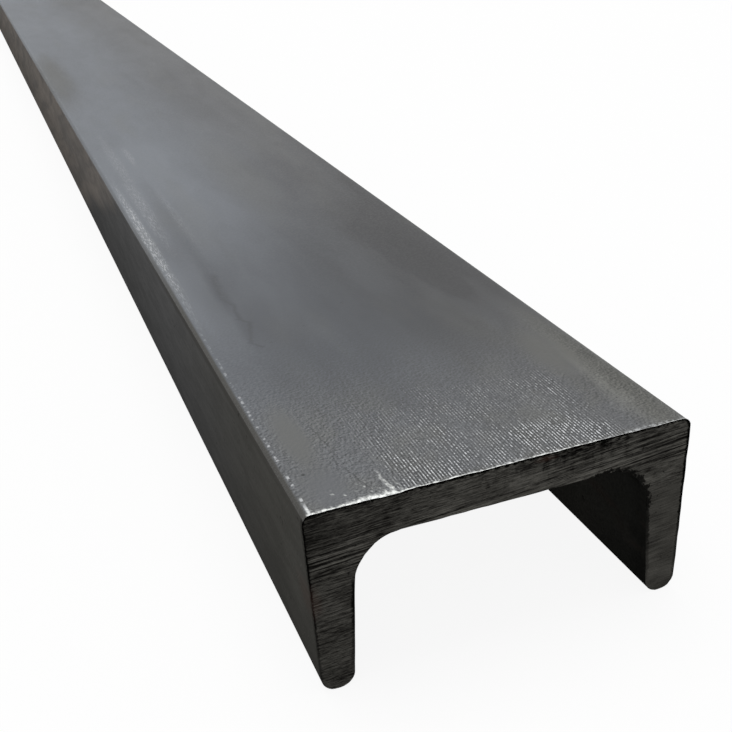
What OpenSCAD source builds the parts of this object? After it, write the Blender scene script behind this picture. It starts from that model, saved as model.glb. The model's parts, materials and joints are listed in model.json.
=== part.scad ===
// Hot-rolled steel channel: a flat web with two tapered flanges, lying web up on its toes.
// X runs along the bar, Y across the web and Z up. The origin is under the middle of the
// bar, on the plane that the toes stand on. Sizes are in millimetres.

/* [Section] */
// Height of the section, measured over the web from heel to heel
section_h = 50; // [40:0.5:80]
// Width of a flange, from the outer face of the web to the toe
flange_w = 25.8; // [20:0.1:40]
// Thickness of the web
web_t = 5; // [3.5:0.1:7]
// Thickness of a flange, measured halfway along its width
flange_t = 5.3; // [4:0.1:7.5]
// Slope of a flange's inner face, in percent
flange_slope = 8; // [0:0.5:9]

/* [Corners] */
// Radius of the fillet where a flange's inner face meets the web
root_r = 6; // [2:0.25:8]
// Radius of both corners of a toe, which its wall limits to a full round
toe_r = 2.1; // [0.5:0.1:3.5]
// Radius of the heels, where the web's outer face turns into the flanges
heel_r = 1.2; // [0.4:0.1:3]

/* [Bar] */
// Length of the bar between its sawn ends
bar_l = 1000; // [100:10:6000]

/* [Hidden] */

// Steps of a full turn for the rounded corners
turn_steps = 96;
// How far a cutter passes the face that it cuts through
overcut = 1;
// Least flat left between the two rounded corners of a toe
toe_flat_min = 0.1;
// How far an arc bites past the sloping inner face it runs into, so that they cross cleanly
arc_bite = 0.001;

// Rise of a flange's inner face from the upright, for each millimetre of its width
slope = flange_slope / 100;
// Length of the inner face's direction vector (slope, 1)
slope_len = sqrt(1 + slope * slope);
// The web's outer face, heel plane, and its underside
web_top = flange_w;
web_under = flange_w - web_t;
// Half of the section's height, which places the flanges' outer faces
half_h = section_h / 2;
// Thickness of a flange where its inner face would meet the toe plane
toe_t = flange_t - slope * flange_w / 2;
// Largest radius at which the two corners of a toe still leave the least flat
toe_round = (toe_t - toe_flat_min) / (1 + slope_len - slope);
// Radius that the toe's corners get, in whole hundredths
toe_corner_r = floor(100 * min(toe_r, toe_round)) / 100;

// Distance from the centre line to a flange's inner face, at height z over the toe plane
function inner_face(z) = half_h - toe_t - slope * z;

// Centres of the arcs on the +Y side, as [y, z]
heel_c = [half_h - heel_r, web_top - heel_r];
toe_out_c = [half_h - toe_corner_r, toe_corner_r];
toe_in_c = [inner_face(toe_corner_r) + (toe_corner_r - arc_bite) * slope_len, toe_corner_r];
root_c = [inner_face(web_under - root_r) - root_r * slope_len, web_under - root_r];

// Outward direction across a flange's inner face, from the metal to the hollow
inner_normal = [-1, -slope] / slope_len;
// Where the root fillet runs out into the inner face
root_end = root_c - (root_r - arc_bite) * inner_normal;

// A point's image on the -Y side
function mirrored(p) = [-p[0], p[1]];

// Sharp-cornered outline of the bar's outside, before its corners are rounded
module outer_block() {
    translate([-half_h, 0]) square([section_h, flange_w]);
}

// The waste outside a rounded corner: the wedge from the arc's centre to the far side
// of the corner, less the disc of the arc. a and b are the unit normals of both faces.
module corner_waste(centre, r, a, b) {
    reach = r + overcut;
    difference() {
        polygon([centre, centre + reach * a, centre + reach * (a + b), centre + reach * b]);
        translate(centre) circle(r, $fn = turn_steps);
    }
}

// The waste at the heel and at both corners of the toe, on the +Y side
module flange_waste() {
    corner_waste(heel_c, heel_r, [1, 0], [0, 1]);
    corner_waste(toe_out_c, toe_corner_r, [0, -1], [1, 0]);
    corner_waste(toe_in_c, toe_corner_r, inner_normal, [0, -1]);
}

// The hollow between the flanges, open below, with the root fillets in its top corners
module hollow() {
    mouth = [inner_face(-overcut), -overcut];
    half = [mouth, root_end, root_c, [root_c[0], web_under]];
    polygon(concat(half, [for (i = [len(half) - 1 : -1 : 0]) mirrored(half[i])]));
    for (side = [-1, 1])
        translate([side * root_c[0], root_c[1]]) circle(root_r, $fn = turn_steps);
}

// The rolled section, standing on its toes
module section() {
    difference() {
        outer_block();
        hollow();
        flange_waste();
        mirror([1, 0]) flange_waste();
    }
}

// The bar: the section extruded along X between two square-cut ends
module channel() {
    color([0.36, 0.38, 0.40])
        translate([-bar_l / 2, 0, 0])
            rotate([90, 0, 90])
                linear_extrude(height = bar_l) section();
}

channel();
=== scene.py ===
"""Builds a length of hot-rolled steel channel and the plain studio that it lies in.

The bar lies along X with its web up and its toes on the floor. Its front end is the one at +X.
Lengths in the properties are metres, and the surface functions work in millimetres.
"""

import json
import math
from itertools import accumulate

import bmesh
import bpy
from mathutils import Matrix, Vector, noise


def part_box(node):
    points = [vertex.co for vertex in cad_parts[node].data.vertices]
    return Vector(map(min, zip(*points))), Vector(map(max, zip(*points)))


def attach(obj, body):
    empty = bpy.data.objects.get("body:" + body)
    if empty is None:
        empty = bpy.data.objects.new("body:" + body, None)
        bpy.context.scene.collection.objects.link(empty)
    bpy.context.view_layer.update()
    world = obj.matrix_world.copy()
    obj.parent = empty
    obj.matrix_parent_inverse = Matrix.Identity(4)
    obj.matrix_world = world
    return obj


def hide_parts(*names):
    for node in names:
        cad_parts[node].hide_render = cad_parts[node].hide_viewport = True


bl_info = {
    "name": "Rolled Steel Channel",
    "version": (1, 0, 0),
    "blender": (4, 5, 0),
    "location": "View3D > Sidebar > Channel",
    "description": "Builds a length of hot-rolled steel channel with its scale and sawn ends",
    "category": "Add Mesh",
}

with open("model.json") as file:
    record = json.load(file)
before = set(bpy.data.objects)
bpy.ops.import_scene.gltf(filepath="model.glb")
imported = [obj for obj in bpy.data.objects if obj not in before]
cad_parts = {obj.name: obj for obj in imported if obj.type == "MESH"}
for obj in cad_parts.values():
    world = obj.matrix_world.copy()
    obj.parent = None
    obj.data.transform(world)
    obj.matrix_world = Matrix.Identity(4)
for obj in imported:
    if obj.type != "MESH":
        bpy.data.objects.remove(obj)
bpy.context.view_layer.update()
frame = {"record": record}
LOW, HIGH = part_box("channel")
MOUNTS = {mount["name"]: Vector(mount["pos_m"]) for mount in frame["record"]["mounts"]}
MM = 0.001
HAIR = 1e-6  # A length in metres that counts as none.
BAR_NAME = "channel_bar"
WEB_SLOT, FLANGE_SLOT, SAWN_SLOT, INSIDE_SLOT = range(4)
SAW_LEAN = 0.0725  # Rise of the saw marks for each millimetre across an end,
SAW_FAN = 0.00035  # and how much steeper they get to the right.


# --- What a user may change ------------------------------------------------------------------


def length(name, text, default):
    """A length property in metres, shown to a hundredth of a millimetre."""
    return bpy.props.FloatProperty(
        name=name, description=text, default=default, min=0.0, unit="LENGTH", precision=5
    )


def share(name, text, default):
    """A property from 0 to 1."""
    return bpy.props.FloatProperty(
        name=name, description=text, default=default, min=0.0, max=1.0, subtype="FACTOR"
    )


def angle(name, text, degrees):
    """An angle property, with its default given in degrees."""
    return bpy.props.FloatProperty(
        name=name, description=text, default=math.radians(degrees), unit="ROTATION"
    )


def colour(name, text, red, green, blue):
    """A colour property, with its default given as screen values from 0 to 255."""
    linear = [((value / 255 + 0.055) / 1.055) ** 2.4 for value in (red, green, blue)]
    return bpy.props.FloatVectorProperty(
        name=name, description=text, default=linear, size=3, min=0.0, max=1.0, subtype="COLOR"
    )


class ChannelSection(bpy.types.PropertyGroup):
    """The rolled section and the length of the bar."""

    length: length("Length", "Length of the bar", HIGH.x - LOW.x)
    height: length("Section height", "Width over the web, flange to flange", HIGH.y - LOW.y)
    flange: length("Flange width", "From the web's outer face to the toes", HIGH.z - LOW.z)
    web: length("Web thickness", "Thickness of the web", HIGH.z - MOUNTS["web_inside"].z)
    flange_thickness: length("Flange thickness", "Thickness at half the flange width", 5.3 * MM)
    taper: share("Flange taper", "Slope of the flanges' inner faces", 0.08)
    root_radius: length("Root radius", "Fillet between web and flange", 6.0 * MM)
    toe_radius: length("Toe radius", "Rounding of the toes", 2.1 * MM)
    heel_radius: length("Heel radius", "Rounding of the outer corners", 1.2 * MM)


class ChannelSurface(bpy.types.PropertyGroup):
    """The relief that rolling and sawing leave on the bar."""

    skin: length("Relief depth", "Room that the relief takes under the nominal faces", 0.09 * MM)
    rib_count: bpy.props.IntProperty(
        name="Rib count", description="Fine ribs over the flat width of the web", default=120
    )
    rib_height: length("Rib height", "Height of the fine ribs on the web", 0.05 * MM)
    rib_reach: length("Rib reach", "How far from the front end the ribs stay clear", 27 * MM)
    saw_depth: length("Saw mark depth", "Depth of the marks on the sawn ends", 0.05 * MM)
    saw_pitch: length("Saw mark pitch", "Distance between the cuts in a sawn end", 0.24 * MM)
    seed: bpy.props.IntProperty(
        name="Seed", description="Seed of the random relief", default=7, min=0
    )


class ChannelColours(bpy.types.PropertyGroup):
    """The colours of the steel."""

    web_dark: colour("Web, dark", "Darker scale on the web", 66, 66, 67)
    # Lighter web colour, which the web fades toward further from the end, partly as a painted
    # sheen.
    web_light_and_sheen: colour("Web, light", "Lighter scale on the web", 122, 124, 126)
    web_olive: colour("Web, olive", "Olive cast in the web's scale", 104, 104, 98)
    web_cool: colour("Web, cool", "Bluish cast over the web's scale", 241, 246, 254)
    # Painted glints on the rib crests, partly rubbed bright, and worn spots.
    crest_glint_and_wear: colour("Rib crests", "Tops of the ribs and worn spots, rubbed bright", 208, 210, 212)
    # Dark colour of cracks and pits, also used for painted shade in the rib valleys and along
    # folds.
    groove_and_shade: colour("Grooves", "Cracks, pits and the grooves between ribs", 44, 45, 46)
    flange_dark: colour("Flange, dark", "Scale on the flanges near an end", 91, 90, 86)
    flange_light: colour("Flange, light", "Scale on the flanges further on", 104, 104, 104)
    flange_warm: colour("Flange, warm", "Brown scale on the flanges", 142, 136, 130)
    # Heel colour: painted shade that the rounded heels turn toward, where less light falls on them
    # than on the web.
    heel: colour("Heel shade", "Darker scale on the rounded outer corners", 71, 70, 67)
    # Inside colour: the trough's scale near an end, darkened as painted shade.
    inside: colour("Inside", "Dull scale inside the trough near an end", 57, 57, 54)
    inside_deep: colour("Inside, deep", "Paler scale further inside the trough", 104, 103, 97)
    sawn_dark: colour("Saw marks", "Bottoms of the saw marks", 26, 25, 23)
    sawn_light: colour("Sawn steel", "Ridges between the saw marks", 121, 119, 113)
    # Soot colour, also used for painted shade under the burr and along the sawn edges.
    soot_and_shade: colour("Soot", "Dark dirt under the burr and along the sawn edges", 7, 7, 6)
    bare: colour("Bare steel", "Burr and scratches", 236, 238, 235)
    rust: colour("Rust", "Thin rust tint", 92, 68, 60)


class ChannelStudio(bpy.types.PropertyGroup):
    """Floor, light and camera."""

    floor_tone: share("Floor tone", "Lightness of the floor", 1.0)
    floor_bounce: share("Floor bounce", "Lightness of the floor for the light it gives back", 0.3)
    floor_shadow: share("Floor shadow", "How strongly the floor shows the bar's shadow", 0.09)
    key: bpy.props.FloatProperty(
        name="Key light", description="Strength of the key light", default=1.4, min=0.0
    )
    key_softness: angle("Key softness", "Spread of the key light", 50)
    key_lean: angle("Key lean", "How far the key light leans to the back", 14)
    fill: share("Fill light", "Strength of the surrounding light", 0.5)
    camera_place: bpy.props.FloatVectorProperty(
        name="Camera place",
        description="Where the camera stands from the middle of the front end's foot",
        default=(90.2 * MM, -45.9 * MM, 86.5 * MM),
        subtype="TRANSLATION",
        unit="LENGTH",
    )
    camera_turn: angle("Camera turn", "Turned from the bar's length", 19.1)
    camera_dip: angle("Camera dip", "Looking down", 33.28)
    camera_roll: angle("Camera roll", "Rolled about the view", 3.99)
    camera_shift: bpy.props.FloatVectorProperty(
        name="Camera shift",
        description="Lens shift to the right and up, as a share of the frame",
        default=(-0.033, 0.197),
        size=2,
    )
    lens: bpy.props.FloatProperty(
        name="Lens",
        description="Focal length on a 36 mm sensor, in millimetres",
        default=50.07,
        min=1.0,
    )


GROUPS = {
    "channel_section": ChannelSection,
    "channel_surface": ChannelSurface,
    "channel_colours": ChannelColours,
    "channel_studio": ChannelStudio,
}


# --- Small helpers ---------------------------------------------------------------------------


def fade(value, start, end):
    """0 before start, 1 after end and a smooth step between them; start may be the larger."""
    t = min(max((value - start) / (end - start), 0.0), 1.0)
    return t * t * (3.0 - 2.0 * t)


def between(value, low, high, soft):
    """1 from low to high, fading to 0 within soft on each side."""
    return fade(value, low - soft, low) * fade(value, high + soft, high)


def rough(x, y, z=0.0):
    """Smooth noise from about -1 to 1."""
    return noise.noise(Vector((x, y, z)))


def line_distance(u, w, start, end, wander, run):
    """Distance from a wandering line between two places on the web, and the share of its run."""
    along = Vector(end) - Vector(start)
    rel = Vector((u, w)) - Vector(start)
    reach = along.length
    t = rel.dot(along) / (reach * reach)
    side = (rel.x * along.y - rel.y * along.x) / reach
    return abs(side - wander * rough(t * reach / run, start[0], start[1])), t


def saw_slope(u):
    """Rise of the saw marks across the end, in millimetres: they fan out to the right."""
    return SAW_LEAN * u + SAW_FAN * u * u


# --- The bar's surface, in millimetres -------------------------------------------------------


class BarSurface:
    """Relief and wear of the bar at a place u across, w from the front end and v up."""

    def __init__(self, section, surface):
        self.half = section.height / MM / 2
        self.top = section.flange / MM
        self.flat = self.half - section.heel_radius / MM
        self.long = section.length / MM
        self.pitch = 2 * self.flat / surface.rib_count
        self.skin = surface.skin / MM
        self.rib_height = surface.rib_height / MM
        self.reach = surface.rib_reach / MM
        self.saw_depth = surface.saw_depth / MM
        self.saw_pitch = surface.saw_pitch / MM
        self.seed = surface.seed * 3.7

    def rib_zone(self, u, w):
        """How clear the ribs are: only over the middle of the web, near the front end."""
        edge = 1.6 * rough(w / 7, u / 14, self.seed)
        across = fade(u, -14.8 + edge, -11.8 + edge) * fade(u, 17.6, 14.6 + 0.5 * edge)
        patch = 1.0 + 1.1 * rough(u / 2.6, w / 4, self.seed + 5)
        bright = 0.62 + 1.15 * between(u, 5.0, 12.5, 2.0) * fade(w, 9, 4)
        bright += 0.4 * fade(w, 7, 1) + 0.45 * between(u, -11, -4, 2) * fade(w, 12, 3)
        bright -= 0.25 * between(u, 4, 10, 1.5) * between(w, 9, 14, 2)
        along = fade(w + 5 * rough(u / 5, w / 8, self.seed + 9), self.reach, self.reach * 0.4)
        return across * along * bright * min(max(patch, 0.5), 1.6) * fade(w, -0.6, 1.3)

    def ribs(self, u, w):
        """Height of the ribs from -1 to 1, broken into beads along the bar."""
        number = round((u + self.flat) / self.pitch)
        ridge = math.cos(2 * math.pi * (u + self.flat) / self.pitch)
        bead = rough(w / 0.38, number * 3.1, self.seed) + 0.35 * rough(w / 1.9, number * 1.7, 4)
        return ridge * min(max(0.8 + 2.2 * bead, 0.05), 2.2) if ridge > 0 else ridge

    def web_depth(self, u, w, burr):
        """How far the web's outer face lies under its nominal height."""
        wave = 0.12 * rough(u / 9, w / 26, self.seed) + 0.08 * rough(u / 3, w / 8, self.seed)
        rib = self.rib_zone(u, w) * self.ribs(u, w) * self.rib_height / 2
        depth = self.skin * (0.6 + wave + 0.1 * self.wrinkles(u, w)) - rib
        return min(max(depth - burr * self.skin * 0.8, 0.0), 1.4 * self.skin)

    def wrinkles(self, u, w):
        """Finely wrinkled scale beside and behind the ribs, near the front end."""
        zone = fade(w, 44, 10) * (1 - 0.7 * self.rib_zone(u, w))
        zone *= 1 - 0.8 * between(u, -22.5, -18.7, 0.8) * between(w, 11, 26, 2)
        zone *= 1 - 0.7 * fade(u, 15.0, 17.5)
        fold = rough(u / 0.6, w / 0.7, self.seed + 3) + 0.8 - 2.6 * abs(rough(u / 1.2, w / 1.3, 8))
        return zone * fold

    def edge_band(self, u):
        """Width of the bright band along the sawn edge of the web."""
        ragged = 0.55 + 0.6 * rough(u / 0.6, 3.3, self.seed) + 0.55 * rough(u / 0.21, 9.1)
        corner = 0.34 * fade(u, -12.2, -13.8) * (0.8 + 0.7 * rough(u / 1.9, 2.2, self.seed))
        wedge = 0.85 * between(u, -17.4, -14.2, 1.4) * (0.7 + 0.7 * rough(u / 0.5, 1.1, 6.0))
        bead = 0.3 * fade(u, 16.5, 10.0) * (0.7 + 0.8 * rough(u / 0.45, 4.4, 2.0))
        clean = 0.06 * fade(u, 13.0, 17.0)
        return 0.12 + clean + (corner + wedge + bead) * max(ragged + 0.25, 0.05)

    def burr(self, u, w):
        """The ragged lip that the saw leaves along the web's edge, w in from that end."""
        band = self.edge_band(u)
        return fade(w, band * 1.15, band * 0.5)

    def scratches(self, u, w):
        """Bright scratches that run back from the front edge and fade out."""
        marks = 0.0
        for start, end, wide, strength in (
            ((-13.8, -0.3), (-14.1, 6.4), 0.17, 0.95),
            ((-12.8, 1.2), (-13.0, 3.8), 0.07, 0.5),
            ((-14.5, -0.3), (-15.0, 2.4), 0.12, 0.8),
            ((-15.4, -0.3), (-16.6, 1.7), 0.10, 0.6),
            ((-23.86, -0.3), (-23.92, 3.2), 0.1, 0.95),
        ):
            side, t = line_distance(u, w, start, end, 0.35, 1.3)
            t = min(max(t, 0.0), 1.0)
            width = wide * (1.7 - 1.25 * t)
            mark = fade(side, width * 1.7, width * 0.5) * fade(t, 1.0, 0.85)
            marks = max(marks, strength * mark * (1.0 - 0.6 * t))
        return marks * min(max(0.7 + 1.3 * rough(u / 0.25, w / 0.35), 0.0), 1.15)

    def specks(self, u, w):
        """Small rubbed spots near the front left corner and crumbs along the sawn edge."""
        zone = between(u, -23.0, -16.0, 1.2) * between(w, 0.6, 3.2, 1.2)
        spots = 0.7 * zone * fade(rough(u / 0.33, w / 0.42, self.seed + 27), 0.42, 0.62)
        cloud = fade(w, 1.7, 0.4) * between(u, -18.6, -14.0, 1.4)
        crumbs = cloud * fade(rough(u / 0.22, w / 0.22, self.seed + 31), 0.0, 0.45)
        return max(spots, 0.8 * crumbs)

    def bare(self, u, w, burr):
        """Bare bright metal on the web, from 0 to 1."""
        return min(max(burr, self.scratches(u, w), self.specks(u, w)), 1.0)

    def setback(self, u, v):
        """How far the sawn edge stands back from the end: most along the web's outer face."""
        lip = between(u, -15.3, -13.6, 1.4)
        web = 0.17 + 0.09 * rough(u / 2.4, 5.5, self.seed) + 0.06 * rough(u / 0.6, 2.5, self.seed)
        torn = between(u, 8.0, 21.0, 1.5) * between(v, 9.0, self.top - 4.0, 1.5)
        chips = (0.16 + 0.3 * torn) * max(rough(u / 0.9, v / 0.9, self.seed + 2), -0.25)
        other = 0.05 + 0.06 * torn + chips
        top = fade(v, self.top - 0.5, self.top - 0.1)
        return max((web * (1 - lip) - other) * top + other, 0.0)

    def saw_depth_at(self, u, v):
        """How far a sawn end lies under its nominal face."""
        lean = v - saw_slope(u)
        marks = 0.5 + 0.5 * rough(lean / self.saw_pitch, u / 9, self.seed)
        marks += max(rough(lean / 0.7, u / 14, self.seed + 12) - 0.15, 0.0)
        flat = 1 - 0.6 * fade(v, self.top - 0.5, self.top - 0.05)
        return self.saw_depth * min(max(marks, 0.0), 1.6) * flat


# --- The bar's mesh --------------------------------------------------------------------------

ARC_STEP = 0.45 * MM  # Length of a step round an arc,
ARC_STEPS = 5  # of which each arc has at least this many.
CELL = 1.6 * MM  # Width of a cell on the flanges and under the web.
RIBS_PER_CELL = 4  # Ribs that one cell of the web's outer face carries.
RIBBED = (-15.5, 17.0)  # The part of the web that is cut finely for ribs, in millimetres.
RIB_CUTS = 4 * RIBS_PER_CELL - 1  # Cuts through a cell there: four points for a rib,
PLAIN_CUTS = 7  # and through a cell beside it.
PAST_RIBS = 2.0  # Millimetres of fine cells past the ribs.
BACK_REACH = 2.0  # Millimetres of fine cells at the back end, which has no ribs,
BACK_CUTS = 5  # and the cuts through each of them.
EDGE_ROOM = 0.9  # Millimetres at each end over which the rim is drawn back.
HEEL_WRAP = 0.45 * MM  # How far the web's finish goes down round the heels.
SAW_MARGIN = 0.05 * MM  # Plain border round a sawn end.
SAW_COLUMN = 1.5 * MM  # Width of the cells in a sawn end.
SAW_ROWS_SPARE = 9  # Rows that start below the toes, because the rows lean.
SAW_ROOM = 4 * MM  # How far the rows go on past the web, for the same reason.
SAW_SNAP = 0.004 * MM  # A corner nearer than this to a cut lies on it.
CREASE = math.radians(50)  # Edges bent more than this are shaded sharp.


def toe_thickness(section):
    """Thickness that a flange would have at its toe if the toe were not rounded."""
    return section.flange_thickness - section.taper * section.flange / 2


def corner_points(section):
    """The sharp corners of the section as (y, z, radius), going round from the right heel."""
    half = section.height / 2
    high = section.flange
    under = high - section.web
    toe = toe_thickness(section)
    right = [
        (half, high, section.heel_radius),
        (half, 0.0, section.toe_radius),
        (half - toe, 0.0, section.toe_radius),
        (half - toe - section.taper * under, under, section.root_radius),
    ]
    left = [(-y, z, radius) for y, z, radius in reversed(right)]
    return right + left


def round_corner(bm, vert, radius, segments):
    """Rounds one corner of a flat face with an arc of the given radius."""
    first, second = (edge.other_vert(vert).co - vert.co for edge in vert.link_edges)
    tangent = radius / math.tan(first.angle(second) / 2)
    bmesh.ops.bevel(
        bm,
        geom=[vert],
        offset=tangent,
        offset_type="OFFSET",
        segments=segments,
        profile=0.5,
        affect="VERTICES",
        material=-1,
        clamp_overlap=False,
    )


def draw_section(bm, section, surface):
    """Draws the outline of the section at the front end, and returns its edges."""
    points = corner_points(section)
    corners = [bm.verts.new((section.length / 2, y, z)) for y, z, _ in points]
    bm.faces.new(corners)
    for vert, (_, _, radius) in zip(corners, points):
        round_corner(bm, vert, radius, max(ARC_STEPS, round(radius * math.pi / 2 / ARC_STEP)))
    for edge in list(bm.edges):
        if min(vert.co.z for vert in edge.verts) > section.flange - HAIR:
            cells = surface.rib_count // RIBS_PER_CELL
        else:
            cells = math.ceil(edge.calc_length() / CELL)
        if cells > 1:
            bmesh.ops.subdivide_edges(bm, edges=[edge], cuts=cells - 1)
    bmesh.ops.delete(bm, geom=bm.faces[:], context="FACES_ONLY")
    return bm.edges[:]


def stations(long):
    """Steps along the bar in millimetres: fine at the front end, and less so at the back."""
    ribs_end, growth = 30.0, 0.07
    front = [0.18, 0.12, 0.12, 0.14, 0.18]  # Across the burr.
    while (place := sum(front)) < long / 2:
        front.append(0.26 + 0.004 * min(place, ribs_end) + growth * max(place - ribs_end, 0.0))
    back = [0.3, 0.4]
    while sum(back) < long - sum(front):
        back.append(0.6 + growth * sum(back))
    spare = long - sum(front) - sum(back)
    return front + [back[-1] + spare] + back[-2::-1]


def pull_along(bm, ring, steps):
    """Extrudes the outline back along the bar and cuts it at every station."""
    long = sum(steps)
    made = bmesh.ops.extrude_edge_only(bm, edges=ring)["geom"]
    verts = [part for part in made if isinstance(part, bmesh.types.BMVert)]
    bmesh.ops.translate(bm, verts=verts, vec=(-long * MM, 0, 0))
    rails = [e for e in bm.edges if abs(e.verts[0].co.x - e.verts[1].co.x) > MM]
    bmesh.ops.subdivide_edges(bm, edges=rails, cuts=len(steps) - 1, use_grid_fill=True)
    places = [0.0, *accumulate(steps)]
    for vert in bm.verts:
        number = round((0.5 - vert.co.x / (long * MM)) * len(steps))
        vert.co.x = (long / 2 - places[number]) * MM


def split_web(bm, section, end, reach, rib_cuts, plain_cuts):
    """Cuts the web's cells finely, up to reach millimetres from one end."""
    ribbed, plain = [], []
    for edge in bm.edges:
        first, second = (vert.co for vert in edge.verts)
        if abs(first.x - second.x) > HAIR or abs(first.x - end) > reach * MM:
            continue
        if min(first.z, second.z) < section.flange - HAIR:
            continue
        middle = (first.y + second.y) / 2 / MM
        (ribbed if RIBBED[0] < middle < RIBBED[1] else plain).append(edge)
    bmesh.ops.subdivide_edges(bm, edges=ribbed, cuts=rib_cuts, use_grid_fill=True)
    bmesh.ops.subdivide_edges(bm, edges=plain, cuts=plain_cuts, use_grid_fill=True)


def roll_relief(bm, shape, bare, ridge):
    """Moves the rolled faces in along their normals, and marks bare metal and ribs."""
    bm.normal_update()
    moves = []
    for vert in bm.verts:
        normal = vert.normal.copy()
        u, w, v = vert.co.y / MM, shape.long / 2 - vert.co.x / MM, vert.co.z / MM
        inward = min(w, shape.long - w)
        depth = shape.skin * (0.5 + 0.3 * rough(w / 30, u / 8, v / 8))
        up = max(normal.z, 0.0) if v > shape.top - 2 else 0.0
        if up > 0.0:
            burr = shape.burr(u if w < shape.long / 2 else -u, inward)
            depth = depth * (1 - up) + up * shape.web_depth(u, w, burr)
            vert[ridge] = up * shape.rib_zone(u, w) * shape.ribs(u, w)
            vert[bare] = up * shape.bare(u, w, burr)
        moves.append((vert, normal * (-depth * MM)))
    for vert, move in moves:
        vert.co += move
    for vert in bm.verts:
        inward = shape.long / 2 - abs(vert.co.x) / MM
        if inward < EDGE_ROOM:
            back = shape.setback(vert.co.y / MM, vert.co.z / MM) * (1 - inward / EDGE_ROOM)
            vert.co.x -= math.copysign(back * MM, vert.co.x)


def saw_planes(section, surface, end):
    """The planes that cut a sawn end: leaning rows one saw pitch apart, and upright columns."""
    lean = math.atan(SAW_LEAN)
    row = Vector((0, -math.sin(lean), math.cos(lean)))
    column = Vector((0, 1, 0))
    rows = round((section.flange + SAW_ROOM) / surface.saw_pitch)
    columns = math.ceil(section.height / SAW_COLUMN)
    left = -section.height / 2
    planes = [
        (row, Vector((end, 0, i * surface.saw_pitch))) for i in range(-SAW_ROWS_SPARE, rows)
    ]
    return planes + [
        (column, Vector((end, left + i * SAW_COLUMN, 0))) for i in range(1, columns)
    ]


def weld_cap(bm, cap, rim, end):
    """Adds the cut face to the bar and joins it to the rim, corner by corner."""
    mesh = bpy.data.meshes.new("cap")
    cap.to_mesh(mesh)
    cap.free()
    bm.from_mesh(mesh)
    bpy.data.meshes.remove(mesh)
    rim_at = {(round(v.co.y, 8), round(v.co.z, 8)): v for v in rim}
    seam = [v for v in bm.verts if v.is_boundary and v not in rim and abs(v.co.x - end) < HAIR]
    partners = {v: rim_at[(round(v.co.y, 8), round(v.co.z, 8))] for v in seam}
    bmesh.ops.weld_verts(bm, targetmap=partners)


def saw_end(bm, section, surface, shape, end):
    """Closes one end with a face that is cut into narrow strips and marked by the saw."""
    outward = 1 if end > 0 else -1
    rim = [e for e in bm.edges if e.is_boundary and e.verts[0].co.x * outward > 0]
    places = {vert: vert.co.x for edge in rim for vert in edge.verts}
    for vert in places:
        vert.co.x = end
    face = bmesh.ops.contextual_create(bm, geom=rim)["faces"][0]
    face.material_index = SAWN_SLOT
    bm.faces.index_update()
    cap = bm.copy()
    others = [other for other in cap.faces if other.index != face.index]
    bmesh.ops.delete(cap, geom=others, context="FACES")
    bmesh.ops.delete(bm, geom=[face], context="FACES_ONLY")
    bmesh.ops.inset_region(
        cap, faces=cap.faces[:], thickness=SAW_MARGIN, use_boundary=True, use_even_offset=True
    )
    inside = max(cap.faces, key=lambda part: len(part.verts))
    part = [inside, *inside.edges, *inside.verts]
    for normal, place in saw_planes(section, surface, end):
        part = bmesh.ops.bisect_plane(
            cap, geom=part, plane_co=place, plane_no=normal, dist=SAW_SNAP
        )["geom"]
    faces = [item for item in part if isinstance(item, bmesh.types.BMFace)]
    bmesh.ops.triangulate(cap, faces=faces)
    for vert in cap.verts:
        if not vert.is_boundary:
            u, v = vert.co.y / MM, vert.co.z / MM
            near_top = fade(v, shape.top - 0.5, shape.top - 0.1)
            depth = max(shape.saw_depth_at(u, v), near_top * shape.setback(u, v))
            vert.co.x -= outward * depth * MM
    weld_cap(bm, cap, places, end)
    for vert, place in places.items():
        vert.co.x = place


def share_finishes(bm, section):
    """Gives each rolled face the slot of its finish: web, flanges or the inside of the trough."""
    wall = section.height / 2 - toe_thickness(section) / 2
    for face in bm.faces:
        centre = face.calc_center_median()
        if centre.z < section.flange - section.web / 2 and abs(centre.y) < wall:
            face.material_index = INSIDE_SLOT
        elif centre.z > section.flange - HEEL_WRAP:
            face.material_index = WEB_SLOT
        else:
            face.material_index = FLANGE_SLOT
        face.smooth = True


def build_bar(section, surface):
    """The whole bar as one closed mesh, with its relief and its marks for the material."""
    shape = BarSurface(section, surface)
    noise.seed_set(surface.seed + 1)
    bm = bmesh.new()
    bare = bm.verts.layers.float.new("bare")
    ridge = bm.verts.layers.float.new("ridge")
    ring = draw_section(bm, section, surface)
    pull_along(bm, ring, stations(shape.long))
    front, back = section.length / 2, -section.length / 2
    split_web(bm, section, front, shape.reach + PAST_RIBS, RIB_CUTS, PLAIN_CUTS)
    split_web(bm, section, back, BACK_REACH, BACK_CUTS, BACK_CUTS)
    bmesh.ops.recalc_face_normals(bm, faces=bm.faces[:])
    tops = [face for face in bm.faces if face.calc_center_median().z > section.flange - MM]
    if sum(face.normal.z * face.calc_area() for face in tops) < 0:
        bmesh.ops.reverse_faces(bm, faces=bm.faces[:])
    roll_relief(bm, shape, bare, ridge)
    share_finishes(bm, section)
    for end in (front, back):
        saw_end(bm, section, surface, shape, end)
    bmesh.ops.recalc_face_normals(bm, faces=bm.faces[:])
    for edge in bm.edges:
        if edge.is_manifold and edge.calc_face_angle() > CREASE:
            edge.smooth = False
    mesh = bpy.data.meshes.new(BAR_NAME)
    bm.to_mesh(mesh)
    bm.free()
    return mesh


# --- Materials -------------------------------------------------------------------------------


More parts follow.
